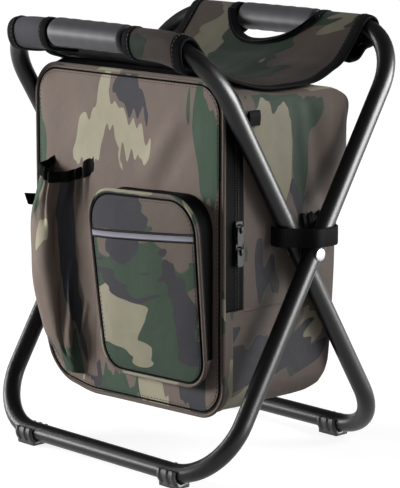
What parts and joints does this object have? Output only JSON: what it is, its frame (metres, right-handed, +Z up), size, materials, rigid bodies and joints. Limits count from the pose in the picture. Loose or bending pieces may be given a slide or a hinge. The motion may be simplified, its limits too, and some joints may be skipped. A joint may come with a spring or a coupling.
{
  "type": "folding cooler stool",
  "caption": "Folding stool with a crossed steel tube frame, a camouflage sling seat and an insulated cooler backpack hung between the legs.",
  "frame": {"origin": "the floor under the middle of the stool", "axes": "+Z up, +X to the right of someone looking at the bag's front pockets, the bag's front towards -Y"},
  "size_m": [0.3538, 0.2748, 0.4314],
  "materials": {
    "black_steel": "satin",
    "bright_steel": "satin",
    "grip_foam": "matte",
    "black_plastic": "matte",
    "camo_cloth": "matte",
    "white_foam": "matte",
    "silver_film": "satin",
    "zip_tape": "matte",
    "grey_reflector": "satin",
    "black_webbing": "matte"
  },
  "bodies": {
    "outer_frame": {"outer_tube": "black_steel", "outer_tube_joiner": "bright_steel", "rear_grip": "grip_foam", "front_foot_left": "black_plastic", "front_foot_right": "black_plastic", "pivot_rivet_left": "bright_steel", "pivot_rivet_right": "bright_steel", "pivot_spacer_left": "black_plastic", "pivot_spacer_right": "black_plastic", "seat_sling": "camo_cloth"},
    "inner_frame": {"inner_tube": "black_steel", "inner_tube_joiner": "bright_steel", "front_grip": "grip_foam", "rear_foot_left": "black_plastic", "rear_foot_right": "black_plastic"},
    "bag": {"bag_shell": "camo_cloth", "bag_insulation": "white_foam", "bag_liner": "silver_film", "front_panel_liner": "silver_film", "front_panel_insulation": "white_foam", "front_panel_cloth": "camo_cloth", "front_panel_piping": "camo_cloth", "zip_tape_bag": "zip_tape", "zip_tape_left": "zip_tape", "zip_tape_right": "zip_tape", "pocket_panel": "camo_cloth", "pocket_panel_piping": "camo_cloth", "pocket_zip_tape": "zip_tape", "pocket_gusset": "camo_cloth", "bottle_pouch": "camo_cloth", "pouch_elastic": "black_webbing", "frame_strap_left": "black_webbing", "frame_strap_right": "black_webbing", "side_tab": "black_webbing", "shoulder_strap_left": "black_webbing", "shoulder_strap_right": "black_webbing", "strap_buckle_left": "black_plastic", "strap_buckle_right": "black_plastic", "strap_webbing_left": "black_webbing", "strap_webbing_right": "black_webbing"},
    "front_flap": {"flap_liner": "silver_film", "flap_insulation": "white_foam", "flap_cloth": "camo_cloth", "flap_piping": "camo_cloth", "zip_tape_flap": "zip_tape"},
    "pocket_cover": {"pocket_flap": "camo_cloth", "pocket_flap_piping": "camo_cloth", "reflective_strip": "grey_reflector"},
    "upper_runner": {"upper_slider": "black_plastic"},
    "upper_tab": {"upper_pull": "black_plastic"},
    "lower_runner": {"lower_slider": "black_plastic"},
    "lower_tab": {"lower_pull": "black_plastic"},
    "pocket_runner": {"pocket_slider": "black_plastic"},
    "pocket_tab": {"pocket_pull": "black_plastic"}
  },
  "joints": [
    {"name": "fold", "type": "hinge", "parent": "outer_frame", "child": "inner_frame", "pos_m": [0, 0, 0.215], "axis": [-1, 0, 0], "range_deg": [0, 51], "deforming": ["seat_sling"]},
    {"name": "bag_follow", "type": "hinge", "parent": "outer_frame", "child": "bag", "pos_m": [0, 0, 0.215], "axis": [-1, 0, 0], "range_deg": [0, 25.5]},
    {"name": "flap_fold", "type": "hinge", "parent": "bag", "child": "front_flap", "pos_m": [0, -0.0878, 0.298], "axis": [1, 0, 0], "range_deg": [0, 85]},
    {"name": "pocket_fold", "type": "hinge", "parent": "bag", "child": "pocket_cover", "pos_m": [0, -0.10063, 0.11778], "axis": [1, 0, 0], "range_deg": [0, 60]},
    {"name": "upper_slide", "type": "slide", "parent": "bag", "child": "upper_runner", "axis": [0, 0, 1], "range_m": [0, 0.044]},
    {"name": "upper_pull_swing", "type": "hinge", "parent": "upper_runner", "child": "upper_tab", "pos_m": [0.1388, -0.07005, 0.244], "axis": [0, -1, 0], "range_deg": [0, 100]},
    {"name": "lower_slide", "type": "slide", "parent": "bag", "child": "lower_runner", "axis": [0, 0, 1], "range_m": [-0.05, 0]},
    {"name": "lower_pull_swing", "type": "hinge", "parent": "lower_runner", "child": "lower_tab", "pos_m": [0.1388, -0.07005, 0.223], "axis": [0, -1, 0], "range_deg": [0, 100]},
    {"name": "pocket_slide", "type": "slide", "parent": "bag", "child": "pocket_runner", "axis": [-0.0503, -0.0783, 0.9957], "range_m": [-0.02, 0.07]},
    {"name": "pocket_pull_swing", "type": "hinge", "parent": "pocket_runner", "child": "pocket_tab", "pos_m": [-0.02812, -0.09766, 0.15389], "axis": [0, 0.9969, 0.0784], "range_deg": [0, 45]}
  ],
  "couplings": [
    {"joint": "bag_follow", "follows": "fold", "ratio": 0.5}
  ]
}
